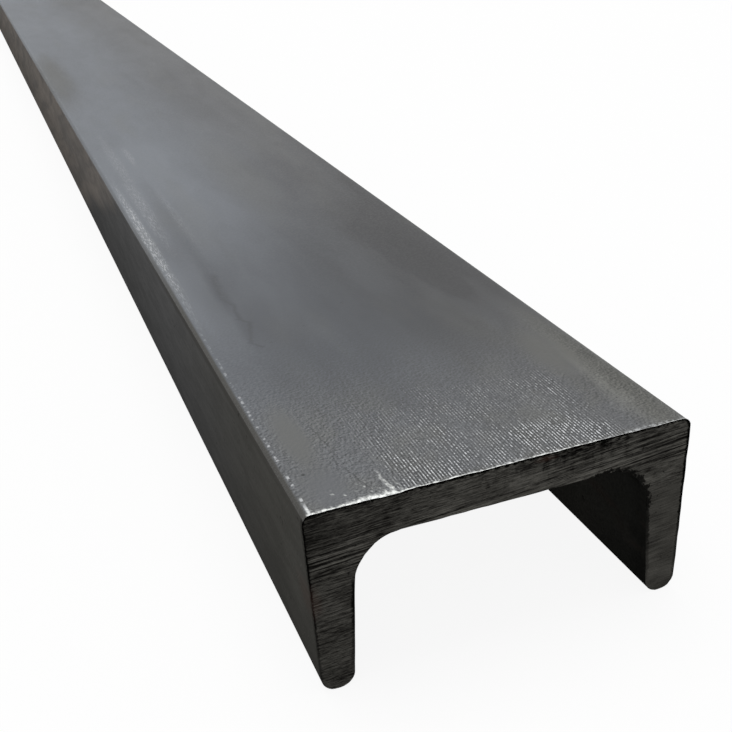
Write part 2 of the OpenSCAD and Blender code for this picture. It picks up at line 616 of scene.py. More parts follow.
class Net:
    """A node tree, with short calls that add nodes and join them."""

    def __init__(self, tree):
        self.tree = tree

    def give(self, socket, value):
        """Links another socket to this one, or sets its value."""
        if isinstance(value, bpy.types.NodeSocket):
            self.tree.links.new(value, socket)
        elif socket.type == "RGBA":
            socket.default_value = (*value, 1.0)
        else:
            socket.default_value = value

    def add(self, kind, inputs=None, **settings):
        """Adds a node, sets it up, and links or sets its inputs."""
        node = self.tree.nodes.new("ShaderNode" + kind)
        count = len(self.tree.nodes)
        node.location = (count % 9 * 190, -(count // 9) * 260)
        for name, value in settings.items():
            setattr(node, name, value)
        for name, value in (inputs or {}).items():
            self.give(node.inputs[name], value)
        return node

    def math(self, operation, first, second=0.0, clamp=False):
        """The result of a Math node."""
        inputs = {0: first, 1: second}
        return self.add("Math", inputs, operation=operation, use_clamp=clamp).outputs[0]

    def minus(self, first, second, clamp=False):
        """The first value less the second."""
        return self.math("SUBTRACT", first, second, clamp)

    def total(self, *values):
        """Several values added."""
        result = values[0]
        for value in values[1:]:
            result = self.math("ADD", result, value)
        return result

    def product(self, *values):
        """Several values multiplied."""
        result = values[0]
        for value in values[1:]:
            result = self.math("MULTIPLY", result, value)
        return result

    def most(self, *values):
        """The highest of several values."""
        result = values[0]
        for value in values[1:]:
            result = self.math("MAXIMUM", result, value)
        return result

    def vector(self, operation, first, second):
        """The result of a Vector Math node."""
        return self.add("VectorMath", {0: first, 1: second}, operation=operation).outputs[0]

    def join(self, x, y, z):
        """A vector from three values."""
        return self.add("CombineXYZ", {0: x, 1: y, 2: z}).outputs[0]

    def band(self, value, low, high, soft):
        """1 from low to high, fading to 0 within soft on each side."""
        return self.product(self.ramp(value, low - soft, low), self.ramp(value, high + soft, high))

    def ramp(self, value, low, high, bottom=0.0, top=1.0):
        """A smooth step from bottom to top as the value goes from low to high."""
        return self.add(
            "MapRange",
            {"Value": value, "From Min": low, "From Max": high, "To Min": bottom, "To Max": top},
            interpolation_type="SMOOTHSTEP",
        ).outputs["Result"]

    def blend(self, factor, first, second, mode="MIX"):
        """Two colours mixed by a factor."""
        inputs = {0: factor, 6: first, 7: second}
        return self.add("Mix", inputs, data_type="RGBA", blend_type=mode).outputs[2]

    def noise(self, vector, scale, detail=3.0, rough=0.55, warp=0.0):
        """Noise from 0 to 1."""
        inputs = {"Vector": vector, "Scale": scale, "Detail": detail}
        inputs |= {"Roughness": rough, "Distortion": warp}
        return self.add("TexNoise", inputs).outputs["Fac"]

    def stretched(self, x, y, stretch, detail=3.0, rough=0.55):
        """Noise over two values: stretch is the scale of each, and the place in depth."""
        place = self.join(self.product(x, stretch[0]), self.product(y, stretch[1]), stretch[2])
        return self.noise(place, 1.0, detail, rough)

    def swing(self, value, amount):
        """A noise value turned into one from -amount to amount."""
        inputs = {"Value": value, "From Min": 0.28, "From Max": 0.72}
        inputs |= {"To Min": -amount, "To Max": amount}
        return self.add("MapRange", inputs).outputs["Result"]

    def group(self, tree, **inputs):
        """Places a node group and returns its outputs."""
        return self.add("Group", inputs, node_tree=tree).outputs


def new_group(name, inputs, outputs):
    """An empty node group with the named inputs and outputs, as a Net and its input sockets."""
    tree = bpy.data.node_groups.new(name, "ShaderNodeTree")
    net = Net(tree)
    for label, value in inputs.items():
        kind = "NodeSocketVector" if isinstance(value, tuple) else "NodeSocketFloat"
        socket = tree.interface.new_socket(label, in_out="INPUT", socket_type=kind)
        socket.default_value = value
    for label in outputs:
        tree.interface.new_socket(label, in_out="OUTPUT", socket_type="NodeSocketFloat")
    return net, tree.nodes.new("NodeGroupInput").outputs


def close_group(net, results):
    """Joins the results to the group's outputs and returns the group."""
    out = net.tree.nodes.new("NodeGroupOutput")
    for label, socket in results.items():
        net.tree.links.new(socket, out.inputs[label])
    return net.tree


def bar_coordinates(net, front):
    """Millimetres on the bar: X back from the front end, Y across, Z up."""
    place = net.add("TexCoord").outputs["Object"]
    return net.add(
        "Mapping",
        {"Vector": place, "Location": (front / MM, 0, 0), "Scale": (-1 / MM, 1 / MM, 1 / MM)},
    ).outputs[0]


def cloud_group(front):
    """Soft patches of scale, drawn out along the bar."""
    net, given = new_group(
        "Scale clouds",
        {"Stretch": (0.02, 0.08, 0.08), "Detail": 3.0, "Low": 0.4, "High": 0.6},
        ["Mask"],
    )
    spread = net.vector("MULTIPLY", bar_coordinates(net, front), given["Stretch"])
    value = net.noise(spread, 1.0, given["Detail"], 0.5, 0.3)
    return close_group(net, {"Mask": net.ramp(value, given["Low"], given["High"])})


def streak_group(front):
    """Fine streaks, long in one direction and narrow in the others."""
    net, given = new_group(
        "Streaks",
        {"Stretch": (1.0, 0.05, 3.0), "Low": 0.35, "High": 0.65},
        ["Mask"],
    )
    spread = net.vector("MULTIPLY", bar_coordinates(net, front), given["Stretch"])
    value = net.noise(spread, 1.0, 4.0, 0.62, 0.15)
    return close_group(net, {"Mask": net.ramp(value, given["Low"], given["High"])})


def grain_group(front):
    """Fine grain of the scale, with sparse pits."""
    net, given = new_group("Scale grain", {"Size": 0.4, "Pits": 0.7}, ["Grain", "Pits"])
    place = bar_coordinates(net, front)
    scale = net.math("DIVIDE", 1.0, given["Size"])
    grain = net.noise(place, scale, 5.0, 0.6)
    pit = net.noise(place, net.product(scale, 0.35), 2.0, 0.5)
    pits = net.ramp(pit, given["Pits"], net.total(given["Pits"], 0.05))
    return close_group(net, {"Grain": grain, "Pits": pits})


def crack_group():
    """One thin wandering line on a flat face."""
    net, given = new_group(
        "Scale crack",
        {
            "Place": (0.0, 0.0, 0.0),
            "Start": (0.0, 0.0, 0.0),
            "Turn": 0.0,
            "Length": 20.0,
            "Width": 0.15,
            "Wander": 0.8,
            "Run": 4.0,
            "Ragged": 0.65,
        },
        ["Line"],
    )
    local = net.vector("SUBTRACT", given["Place"], given["Start"])
    turned = net.add(
        "VectorRotate", {"Vector": local, "Angle": given["Turn"]}, rotation_type="Z_AXIS"
    ).outputs[0]
    run, side, _ = net.add("SeparateXYZ", {0: turned}).outputs
    waves = net.join(net.math("DIVIDE", run, given["Run"]), given["Length"], 0.0)
    wander = net.minus(net.noise(waves, 1.0, 4.0, given["Ragged"]), 0.5)
    wander = net.product(wander, given["Wander"])
    line = net.ramp(net.math("ABSOLUTE", net.minus(side, wander)), given["Width"], 0.0)
    share_run = net.math("DIVIDE", run, given["Length"])
    line = net.product(line, net.ramp(share_run, 0.0, 0.08))
    return close_group(net, {"Line": net.product(line, net.ramp(share_run, 1.0, 0.8))})


def crease_shading_group(front):
    """Painted light and shade of fine creases in the scale: the difference of two shifted noises,
    light and dark side by side.
    """
    net, given = new_group(
        "Crease shading", {"Size": 1.0, "Shift": (0.16, -0.12, 0.0)}, ["Crease shade"]
    )
    place = bar_coordinates(net, front)
    scale = net.math("DIVIDE", 1.0, given["Size"])
    first = net.noise(place, scale, 5.0, 0.62, 0.25)
    second = net.noise(net.vector("ADD", place, given["Shift"]), scale, 5.0, 0.62, 0.25)
    return close_group(net, {"Crease shade": net.minus(first, second)})


def patch_group(front):
    """One soft patch with an uneven outline."""
    net, given = new_group(
        "Soft patch",
        {"Centre": (0.0, 0.0, 0.0), "Size": (10.0, 5.0, 5.0), "Uneven": 0.5},
        ["Mask"],
    )
    place = bar_coordinates(net, front)
    local = net.vector("DIVIDE", net.vector("SUBTRACT", place, given["Centre"]), given["Size"])
    far = net.add("VectorMath", {0: local}, operation="LENGTH").outputs["Value"]
    wobble = net.minus(net.noise(local, 1.4, 3.0), 0.5)
    far = net.total(far, net.product(wobble, given["Uneven"]))
    return close_group(net, {"Mask": net.ramp(far, 1.25, 0.25)})


class Finishes:
    """The bar's four materials, built from node groups of scale, streaks, cracks and patches."""

    def __init__(self, section, colours):
        self.front = section.length / 2
        self.half = section.height / MM / 2
        self.top = section.flange / MM
        self.toe = toe_thickness(section) / MM
        self.taper = section.taper
        self.under = (section.flange - section.web) / MM
        self.root = section.root_radius / MM
        self.heel = section.heel_radius / MM
        self.colours = colours
        self.clouds = cloud_group(self.front)
        self.streaks = streak_group(self.front)
        self.grain = grain_group(self.front)
        self.crack = crack_group()
        self.crease_shading = crease_shading_group(self.front)
        self.patch = patch_group(self.front)

    def start(self, name, specular):
        """A new material as a Net, its shader, and the bar's coordinates as separate values."""
        material = bpy.data.materials.new(name)
        material.use_nodes = True
        net = Net(material.node_tree)
        shader = material.node_tree.nodes["Principled BSDF"]
        shader.inputs["Specular IOR Level"].default_value = specular
        place = net.add("SeparateXYZ", {0: bar_coordinates(net, self.front)}).outputs
        return material, net, shader, place

    def finish(self, net, shader, height, depth, results):
        """Joins the results to the shader, with a bump of the given depth in millimetres."""
        bump = net.add("Bump", {"Height": height, "Strength": 1.0, "Distance": depth * MM})
        net.tree.links.new(bump.outputs[0], shader.inputs["Normal"])
        for name, socket in results.items():
            net.tree.links.new(socket, shader.inputs[name])

    def shade(self, net, colour, amount):
        """A colour made lighter or darker by a factor."""
        grey = net.add("CombineColor", {0: amount, 1: amount, 2: amount}).outputs[0]
        return net.blend(1.0, colour, grey, "MULTIPLY")

    def cracks(self, net, place, lines):
        """The darkest of several cracks: (start, turn, length, width, wander, run, ragged)."""
        found = []
        for start, turn, long, width, wander, run, ragged in lines:
            values = {"Place": place, "Start": (*start, 0.0), "Turn": math.radians(turn)}
            values |= {"Length": long, "Width": width, "Wander": wander, "Run": run}
            found.append(net.group(self.crack, Ragged=ragged, **values)[0])
        return net.most(*found)

    def spot(self, net, along, across, length, width, uneven=0.5, up=None, height=9.0):
        """The mask of one soft patch, on the web unless a height is given."""
        centre = (along, across, self.top if up is None else up)
        values = {"Centre": centre, "Size": (length, width, height), "Uneven": uneven}
        return net.group(self.patch, **values)[0]

    def spots(self, net, *rows):
        """The highest of several soft patches: (strength, along, across, length, width, uneven)."""
        found = [net.product(self.spot(net, *row), strength) for strength, *row in rows]
        return net.most(*found)

    def cloud(self, net, stretch, low, high, detail=3.0):
        """The mask of soft patches of scale."""
        return net.group(self.clouds, Stretch=stretch, Low=low, High=high, Detail=detail)[0]

    def streak(self, net, stretch, low, high):
        """The mask of fine streaks."""
        return net.group(self.streaks, Stretch=stretch, Low=low, High=high)[0]

    def web_tone(self, net, along, across):
        """The web's soft colours: lighter and bluer to the left and further from the end; the
        lightening is partly a painted sheen.
        """
        tint = self.colours
        clouds = self.cloud(net, (0.011, 0.05, 0.05), 0.3, 0.7)
        small = self.cloud(net, (0.05, 0.16, 0.16), 0.3, 0.7, 4.0)
        # Partly a painted sheen: the web grows lighter further from the end, most on the left.
        left = net.ramp(along, 30.0, 145.0, 0.3, 0.88)
        right = net.ramp(along, 90.0, 200.0, 0.25, 0.36)
        light = net.add("Mix", {0: net.ramp(across, -10.0, 15.0), 2: left, 3: right}).outputs[0]
        light = net.total(
            light,
            net.product(
                net.ramp(along, 44.0, 1.0, 0.0, 0.3), net.ramp(across, 21.0, 12.0, 0.15, 1.0)
            ),
            net.product(net.ramp(across, -15.0, -21.0), net.band(along, 30.0, 80.0, 18.0), 0.17),
            net.product(net.ramp(across, -20.4, -22.4), net.band(along, 60.0, 110.0, 25.0), 0.12),
            self.spots(
                net, (0.13, 145.0, -12.0, 60.0, 7.0, 0.6), (0.12, 2.0, 18.5, 8.0, 4.0, 0.6)
            ),
            net.ramp(clouds, 0.0, 1.0, -0.07, 0.07),
            net.product(net.ramp(along, 225.0, 290.0), net.ramp(across, 13.0, 5.0), -0.09),
            net.ramp(small, 0.0, 1.0, -0.04, 0.04),
        )
        dark = net.total(
            self.spots(
                net,
                (0.13, 12.0, 5.0, 7.0, 4.5, 0.7),
                (0.08, 22.0, 0.0, 9.0, 9.0, 0.7),
                (0.15, 90.0, 23.6, 110.0, 2.6, 0.4),
                (0.46, 296.0, -21.0, 62.0, 5.5, 0.8),
                (0.16, 112.0, -16.8, 46.0, 1.9, 0.8),
                (0.12, 68.0, -2.0, 44.0, 7.0, 0.6),
            ),
            net.product(net.ramp(across, -10.0, -2.0), net.band(along, 50.0, 85.0, 30.0), 0.09),
            self.spots(net, (0.22, 77.0, 18.5, 46.0, 8.5, 0.8)),
            self.spots(net, (0.45, 75.0, 17.8, 24.0, 4.4, 0.8)),
        )
        colour = net.blend(net.minus(light, dark, clamp=True), tint.web_dark, tint.web_light_and_sheen)
        cool = net.product(net.ramp(across, 26.0, -8.0), net.ramp(along, 6.0, 45.0, 0.3, 1.0))
        colour = net.blend(cool, colour, tint.web_cool, "MULTIPLY")
        olive = net.most(
            net.product(self.cloud(net, (0.024, 0.11, 0.3), 0.5, 0.75), 0.16),
            net.product(
                self.cloud(net, (0.11, 0.16, 0.3), 0.42, 0.68),
                net.ramp(along, 34.0, 14.0, 0.0, 0.36),
            ),
            self.spots(
                net,
                (0.2, 140.0, 3.0, 42.0, 6.0, 0.8),
                (0.65, 14.0, 22.0, 30.0, 3.6),
                (0.35, 300.0, -21.0, 60.0, 5.5, 0.9),
                (0.45, 18.0, -20.6, 11.0, 2.8),
                (0.45, 25.0, 18.6, 11.0, 3.6),
            ),
        )
        return net.blend(olive, colour, tint.web_olive)

    def web_marks(self, net, grain, crisp, fringe, crease_relief_and_shade):
        """How much lighter or darker small marks make the web: 1 for no change."""
        blots = self.cloud(net, (0.35, 0.6, 0.3), 0.4, 0.62, 5.0)
        return net.total(
            1.0,
            net.product(net.swing(grain, 0.32), crisp),
            net.product(
                self.spot(net, 8.0, 20.5, 13.0, 5.0), net.ramp(blots, 0.0, 1.0, -0.1, 0.08)
            ),
            # Painted light and shade beside the fine creases.
            crease_relief_and_shade,
            net.product(net.swing(grain, 0.55), fringe),
            self.spots(net, (0.2, 12.0, 20.2, 14.0, 0.8)),
            net.product(
                self.spot(net, 18.0, 22.9, 18.0, 1.4), net.ramp(blots, 0.0, 1.0, -0.14, -0.3)
            ),
            self.spots(net, (-0.14, 73.0, 18.0, 22.0, 4.8, 0.8)),
        )

    def web_crease_relief_and_shade(self, net, along, across, crisp):
        """Fine creases in the scale, clearest on the left near the end: painted light and shade in
        the colour, and the same as bump.
        """
        creased = net.ramp(across, -5.0, -10.0, 0.6, 1.0)
        creased = net.product(creased, net.ramp(along, 46.0, 14.0, 0.12, 1.0), crisp)
        return net.product(net.group(self.crease_shading, Size=0.42)[0], creased, 2.5)

    def web_ribs(self, net, along, across):
        """The ribs' crests, broken into beads of painted glint that are partly rubbed bright, and
        the valleys between them, darkened partly as painted shade and partly as dark scale.
        """
        bead = net.noise(net.join(net.product(along, 1.55), across, 0.0), 2.4, 1.0)
        ridge = net.add("Attribute", attribute_name="ridge").outputs["Fac"]
        beaded = net.product(ridge, net.ramp(bead, 0.38, 0.62, 0.12, 1.9))
        crest_glint_and_wear = net.add(
            "MapRange", {"Value": beaded, "From Min": 0.05, "From Max": 1.9, "To Max": 0.95}
        ).outputs["Result"]
        return crest_glint_and_wear, net.ramp(ridge, 0.0, -0.8, 0.0, 0.6)

    def web_cracks(self, net, flat):
        """Thin cracks near the front left corner, one across them, and wide soft ones behind, which
        are partly dark cracks and partly painted shade along folds in the scale.
        """
        thin = self.cracks(
            net,
            flat,
            (
                ((2.0, -15.9), 12.0, 7.0, 0.18, 1.3, 1.6, 0.6),
                ((8.6, -17.8), -9.0, 4.8, 0.17, 1.2, 1.4, 0.6),
                ((13.0, -17.1), 7.0, 7.2, 0.16, 1.2, 1.6, 0.6),
            ),
        )
        cross = self.cracks(net, flat, (((9.3, -17.2), 92.0, 4.6, 0.13, 1.3, 0.5, 0.8),))
        soft = self.cracks(
            net,
            flat,
            (
                ((45.8, -16.4), 31.0, 3.6, 0.6, 0.8, 1.5, 0.6),
                ((47.8, -18.0), -14.0, 9.6, 0.85, 1.8, 2.5, 0.7),
                ((55.8, -15.9), 33.0, 3.6, 0.6, 0.8, 1.5, 0.6),
                ((57.6, -17.2), -6.0, 7.6, 0.7, 1.4, 2.5, 0.7),
                ((63.8, -16.5), 15.0, 6.2, 1.0, 1.0, 2.5, 0.6),
                ((68.4, -17.7), -6.0, 13.0, 1.5, 1.4, 3.0, 0.7),
            ),
        )
        return thin, cross, soft

    def web_worn(self, net, along, across, grain):
        """Bright streaks along the left heel, partly a painted highlight and partly rubbed bright,
        and crumbs rubbed bright at the sawn edge.
        """
        rubbed = self.streak(net, (0.6, 8.0, 0.4), 0.48, 0.64)
        beads = self.streak(net, (0.9, 0.5, 0.4), 0.5, 0.62)
        # Partly a painted highlight along the edge of the left heel, partly rubbed bright.
        heel = net.product(
            net.band(across, 1.1 - self.half, 1.28 - self.half, 0.16),
            net.most(beads, net.ramp(along, 3.4, 1.5)),
            net.ramp(along, 64.0, 8.0, 0.1, 0.7),
        )
        strip = self.spots(
            net,
            (0.78, 106.0, -23.3, 44.0, 1.05),
            (0.3, 128.0, -20.3, 32.0, 1.5),
            (0.13, 118.0, -15.4, 28.0, 1.0),
            (0.26, 172.0, -16.0, 11.0, 0.9),
            (0.2, 166.0, -19.7, 36.0, 1.4),
        )
        strip = net.product(strip, net.ramp(rubbed, 0.0, 1.0, 0.1, 0.9))
        crumbs = net.product(net.ramp(grain, 0.46, 0.62), net.ramp(along, 1.1, 0.2, 0.0, 0.75))
        return net.most(heel, strip, crumbs)

    def web(self):
        """Mill scale on the web: soft clouds with a painted sheen in part, rib crests with painted
        glints that are partly rubbed bright, painted shade on the rounded heels, streaks by the
        left heel that are partly a painted highlight, and a burr.
        """
        tint = self.colours
        material, net, shader, (along, across, up) = self.start("web_mill_scale", 0.22)
        grain, pits = net.group(self.grain, Size=0.42, Pits=0.72)
        smooth = net.most(
            self.spot(net, 18.0, -20.6, 10.0, 2.4),
            self.spot(net, 24.0, 19.0, 10.0, 3.6),
            self.spots(net, (0.8, 5.0, -20.6, 7.0, 3.8)),
        )
        near = net.ramp(along, 95.0, 12.0, 0.16, 1.0)
        crisp = net.product(near, net.ramp(smooth, 0.0, 1.0, 1.0, 0.15))
        fringe = net.product(net.ramp(along, 1.7, 0.6), net.band(across, -11.0, 17.0, 2.0))
        crease_relief_and_shade = self.web_crease_relief_and_shade(net, along, across, crisp)
        marks = self.web_marks(net, grain, crisp, fringe, crease_relief_and_shade)
        colour = self.shade(net, self.web_tone(net, along, across), marks)
        colour = net.blend(net.product(fringe, 0.35), colour, tint.flange_dark)
        # Painted glints on the rib crests, partly rubbed bright, and painted shade in the valleys,
        # partly dark scale.
        crest_glint_and_wear, valley_shade_and_scale = self.web_ribs(net, along, across)
        colour = net.blend(valley_shade_and_scale, colour, tint.groove_and_shade)
        thin, cross, soft = self.web_cracks(net, net.join(along, across, 0.0))
        # Cracks, pits and dark spots; the soft cracks and the patches at 52 and 71 mm are partly
        # painted shade along folds in the scale.
        dark = net.most(
            net.product(thin, 0.5),
            net.product(cross, 0.3),
            net.product(soft, 0.32),
            net.product(pits, crisp, 0.35),
            self.spots(
                net,
                (0.16, 52.0, -17.3, 8.0, 1.2, 0.8),
                (0.24, 71.0, -17.4, 12.0, 1.3, 0.8),
                (0.8, 8.7, -22.0, 0.35, 0.3, 0.2),
            ),
        )
        colour = net.blend(dark, colour, tint.groove_and_shade)
        # The rib crests' painted glints and the streaks by the left heel, partly a painted
        # highlight, go toward the crest colour.
        bright = net.most(crest_glint_and_wear, net.product(self.web_worn(net, along, across, grain), 0.95))
        colour = net.blend(bright, colour, tint.crest_glint_and_wear)
        bare = net.add("Attribute", attribute_name="bare").outputs["Fac"]
        bare = net.product(bare, net.ramp(grain, 0.34, 0.56, 0.4, 1.0))
        colour = net.blend(bare, colour, tint.bare)
        # Painted shade on the rounded heels: darker toward the heel colour, most near the end.
        turned = net.most(
            net.ramp(across, 1.0 - self.half, 0.64 - self.half),
            net.ramp(up, self.top - 0.12, self.top - 0.5),
        )
        turned = net.product(turned, net.ramp(along, 120.0, 60.0, 0.25, 1.0))
        colour = net.blend(turned, colour, tint.heel)
        shiny = net.most(bare, bright)
        rough = net.minus(net.ramp(grain, 0.3, 0.7, 0.5, 0.66), net.product(shiny, 0.15))
        metal = net.ramp(shiny, 0.0, 1.0, 0.0, 0.6)
        height = net.minus(net.product(grain, crisp), net.product(thin, 0.6))
        height = net.total(height, crease_relief_and_shade)
        results = {"Base Color": colour, "Roughness": rough, "Metallic": metal}
        self.finish(net, shader, height, 0.03, results)
        return material

    def flange(self):
        """Darker scale on the flanges and toes, brown further from the end, with painted shade
        toward the toes, on the rounded heels and in a dark line along the sawn end that is partly
        soot.
        """
        tint = self.colours
        material, net, shader, (along, across, up) = self.start("flange_mill_scale", 0.0)
        clouds = self.cloud(net, (0.016, 0.2, 0.09), 0.32, 0.7)
        small = self.cloud(net, (0.12, 0.3, 0.4), 0.25, 0.75, 6.0)
        grain, pits = net.group(self.grain, Size=0.5, Pits=0.7)
        rolled = self.streak(net, (0.02, 1.5, 1.5), 0.3, 0.75)
        down = net.minus(self.top, up)
        reach = net.minus(along, net.product(down, 3.7))
        reach = net.total(reach, net.ramp(clouds, 0.0, 1.0, -5.0, 5.0))
        colour = net.blend(net.ramp(along, 5.0, 90.0), tint.flange_dark, tint.flange_light)
        brown = net.product(net.ramp(reach, 122.0, 156.0), net.ramp(clouds, 0.0, 1.0, 0.75, 1.0))
        colour = net.blend(brown, colour, tint.flange_warm)
        bands = net.ramp(net.stretched(reach, down, (0.045, 0.06, across)), 0.48, 0.62)
        colour = net.blend(net.product(bands, brown, 0.4), colour, tint.flange_light)
        # Painted shade: the flanges darken toward the toes, lower down from the light.
        low = net.ramp(up, 24.0, 2.0, 1.0, 0.74)
        shade = net.total(1.0, net.ramp(small, 0.0, 1.0, -0.07, 0.07), net.swing(grain, 0.1))
        shade = net.product(shade, low, net.ramp(rolled, 0.0, 1.0, 0.965, 1.035))
        lean = net.stretched(net.minus(along, up), net.total(along, up), (0.16, 3.2, across), 2.0)
        scuffs = net.product(net.ramp(lean, 0.6, 0.72), net.ramp(along, 26.0, 3.0, 0.0, 0.22))
        pale = net.product(self.spot(net, 5.0, -self.half, 6.5, 9.0, 0.6, 12.8, 5.0), 0.07)
        colour = self.shade(net, colour, net.total(shade, scuffs, pale))
        # Painted shade on the rounded heels, as on the web.
        turned = net.product(
            net.ramp(up, self.top - 1.8, self.top - 0.3), net.ramp(along, 120.0, 60.0, 0.4, 1.0)
        )
        colour = net.blend(turned, colour, tint.heel)
        # Partly soot, partly painted shadow: a dark line along the sawn end.
        edge = net.product(net.ramp(along, 1.1, 0.1), net.ramp(grain, 0.35, 0.6, 0.8, 0.35))
        colour = net.blend(edge, colour, tint.soot_and_shade)
        stain = self.spot(net, 2.0, -self.half, 4.0, 9.0, 0.7, 13.8, 3.0)
        colour = net.blend(net.product(stain, 0.2), colour, tint.rust)
        colour = net.blend(net.product(pits, 0.3), colour, tint.soot_and_shade)
        rough = net.ramp(grain, 0.3, 0.7, 0.55, 0.72)
        self.finish(net, shader, grain, 0.02, {"Base Color": colour, "Roughness": rough})
        return material

    def inside(self):
        """Scale on the inside of the trough, darkened near the end as painted shade and paler
        further in.
        """
        tint = self.colours
        material, net, shader, (along, _, _) = self.start("inside_scale_and_shade", 0.0)
        clouds = self.cloud(net, (0.02, 0.1, 0.1), 0.35, 0.68)
        grain, pits = net.group(self.grain, Size=0.6, Pits=0.7)
        # Painted shade: the trough is darkest within a few millimetres of the end and dark in the
        # inside colour near it, paler further in.
        shade = net.product(
            net.total(
                net.ramp(clouds, 0.0, 1.0, -0.15, 0.15), net.ramp(grain, 0.3, 0.7, 0.85, 1.15)
            ),
            net.ramp(along, 1.2, 5.0, 0.62, 1.0),
        )
        colour = net.blend(net.ramp(along, 3.0, 26.0), tint.inside, tint.inside_deep)
        colour = self.shade(net, colour, shade)
        brown = self.cloud(net, (0.05, 0.2, 0.2), 0.55, 0.75)
        colour = net.blend(net.product(brown, 0.3), colour, tint.rust)
        colour = net.blend(net.product(pits, 0.4), colour, tint.soot_and_shade)
        rough = net.ramp(grain, 0.3, 0.7, 0.65, 0.8)
        self.finish(net, shader, grain, 0.03, {"Base Color": colour, "Roughness": rough})
        return material

    def sawn(self):
        """Dull sawn steel with fine marks across the end, painted shade in its upper left corner,
        and soot and painted shade round its edges.
        """
        tint = self.colours
        material, net, shader, (_, across, up) = self.start("sawn_steel", 0.0)
        rise = net.total(net.product(across, SAW_LEAN), net.product(across, across, SAW_FAN))
        level = net.minus(up, rise)
        lines = net.stretched(across, level, (0.035, 2.3, 2.0), 3.0, 0.7)
        coarse = net.stretched(across, level, (0.12, 4.2, 0.0), 2.0, 0.6)
        fine = net.stretched(across, level, (0.3, 8.0, 7.0), 2.0, 0.6)
        crumbs = net.stretched(across, level, (0.9, 6.0, 3.0), 4.0, 0.65)
        broad = net.stretched(across, level, (0.16, 0.4, 5.0), 2.0)
        smudge = net.stretched(across, up, (0.9, 0.25, 9.0))
        grain, pits = net.group(self.grain, Size=0.25, Pits=0.69)
        calm = net.product(
            net.ramp(across, self.half - 10.0, self.half - 6.0),
            net.ramp(up, self.top - 8.0, self.top - 10.0),
        )
        clear = net.most(
            self.spot(net, 0.0, 3.6 - self.half, 9.0, 6.5, 0.3, self.top - 6.6, 2.7),
            net.product(
                net.ramp(across, 1.0, 9.0), net.band(up, self.under, self.top - 1.6, 0.8), 0.75
            ),
            net.product(net.band(up, self.under, self.under + 1.1, 0.4), 0.44),
        )
        force = net.total(0.45, net.product(clear, 0.6))
        force = net.product(force, net.ramp(calm, 0.0, 1.0, 1.0, 0.45))
        marks = net.total(
            net.product(net.swing(lines, 0.68), clear),
            net.product(net.swing(coarse, 0.36), force),
            net.product(net.swing(fine, 0.36), net.total(force, 0.2)),
        )
        rubble = net.product(net.swing(crumbs, 0.34), net.ramp(calm, 0.0, 1.0, 1.0, 0.18))
        value = net.total(
            net.ramp(across, -14.0, -4.0, 0.28, 0.49),
            net.ramp(across, 0.0, 12.0, 0.0, -0.09),
            net.product(
                net.ramp(smudge, 0.48, 0.62),
                net.band(across, -2.0, 15.0, 4.0),
                net.ramp(up, self.under + 0.6, self.top - 1.2),
                -0.28,
            ),
            marks,
            rubble,
            net.swing(broad, 0.13),
            net.swing(grain, 0.07),
        )
        # Painted shade: the sawn end darkens into its upper left corner.
        corner = self.spot(net, 0.0, 0.4 - self.half, 9.0, 4.6, 0.6, self.top - 2.0, 5.5)
        value = net.minus(value, net.product(corner, 0.17), clamp=True)
        colour = net.blend(value, tint.sawn_dark, tint.sawn_light)
        # Partly soot and partly painted shade, with the painted shade of the upper left corner.
        dirt = net.most(
            self.sawn_dirt_and_shade(net, across, up, crumbs, pits),
            net.product(net.ramp(lines, 0.45, 0.34), clear, 0.55),
            net.product(corner, 0.33),
        )
        colour = net.blend(dirt, colour, tint.soot_and_shade)
        stain = self.spot(net, 0.0, 0.4 - self.half, 9.0, 1.0, 0.6, 13.8, 2.6)
        fleck = self.spot(net, 0.0, 5.0, 9.0, 1.6, 0.6, self.top - 0.6, 0.4)
        rusty = net.most(net.product(stain, 0.2), net.product(fleck, 0.25))
        colour = net.blend(rusty, colour, tint.rust)
        rough = net.ramp(fine, 0.3, 0.7, 0.65, 0.5)
        metal = net.ramp(broad, 0.3, 0.7, 0.08, 0.18)
        height = net.total(marks, net.product(rubble, 0.8))
        results = {"Base Color": colour, "Roughness": rough, "Metallic": metal}
        self.finish(net, shader, height, 0.05, results)
        return material

    def sawn_dirt_and_shade(self, net, across, up, crumbs, pits):
        """Dark marks on a sawn end, partly soot and partly painted shade: round its outline, torn
        under the burr and in the right root, and dark pits.
        """
        ragged = net.swing(net.noise(net.join(across, up, 0.0), 1.7, 4.0, 0.65), 0.12)
        side = net.math("ABSOLUTE", across)
        beyond = net.most(net.minus(side, self.half - self.heel), 0.0)
        above = net.most(net.minus(up, self.top - self.heel), 0.0)
        out = net.math("SQRT", net.total(net.product(beyond, beyond), net.product(above, above)))
        inset = net.total(net.minus(self.heel, out), net.product(ragged, 1.6))
        wider = net.product(net.ramp(beyond, 0.1, 0.7), net.ramp(across, -2.0, 2.0, -0.02, 0.18))
        inset = net.minus(inset, wider)
        rim = net.product(net.ramp(inset, 0.38, 0.16), net.ramp(up, 4.0, 14.0, 0.5, 1.0))
        wall = net.total(self.toe, net.product(up, self.taper))
        from_trough = net.total(net.minus(side, self.half), wall)
        inner = net.product(
            net.ramp(net.total(from_trough, net.product(ragged, 2.0)), 0.6, 0.3),
            net.most(
                net.band(up, 9.5, self.under - self.root, 2.0),
                net.product(net.band(up, 4.0, 10.0, 2.0), 0.6),
            ),
            net.ramp(across, 1.0, -1.0, 0.8, 0.95),
        )
        low = self.under - self.root
        centre = self.half - self.toe - self.taper * low - self.root
        place = net.join(net.minus(across, centre), net.minus(up, low), 0.0)
        far = net.add("VectorMath", {0: place}, operation="LENGTH").outputs["Value"]
        far = net.total(net.minus(far, self.root), net.product(ragged, 6.0))
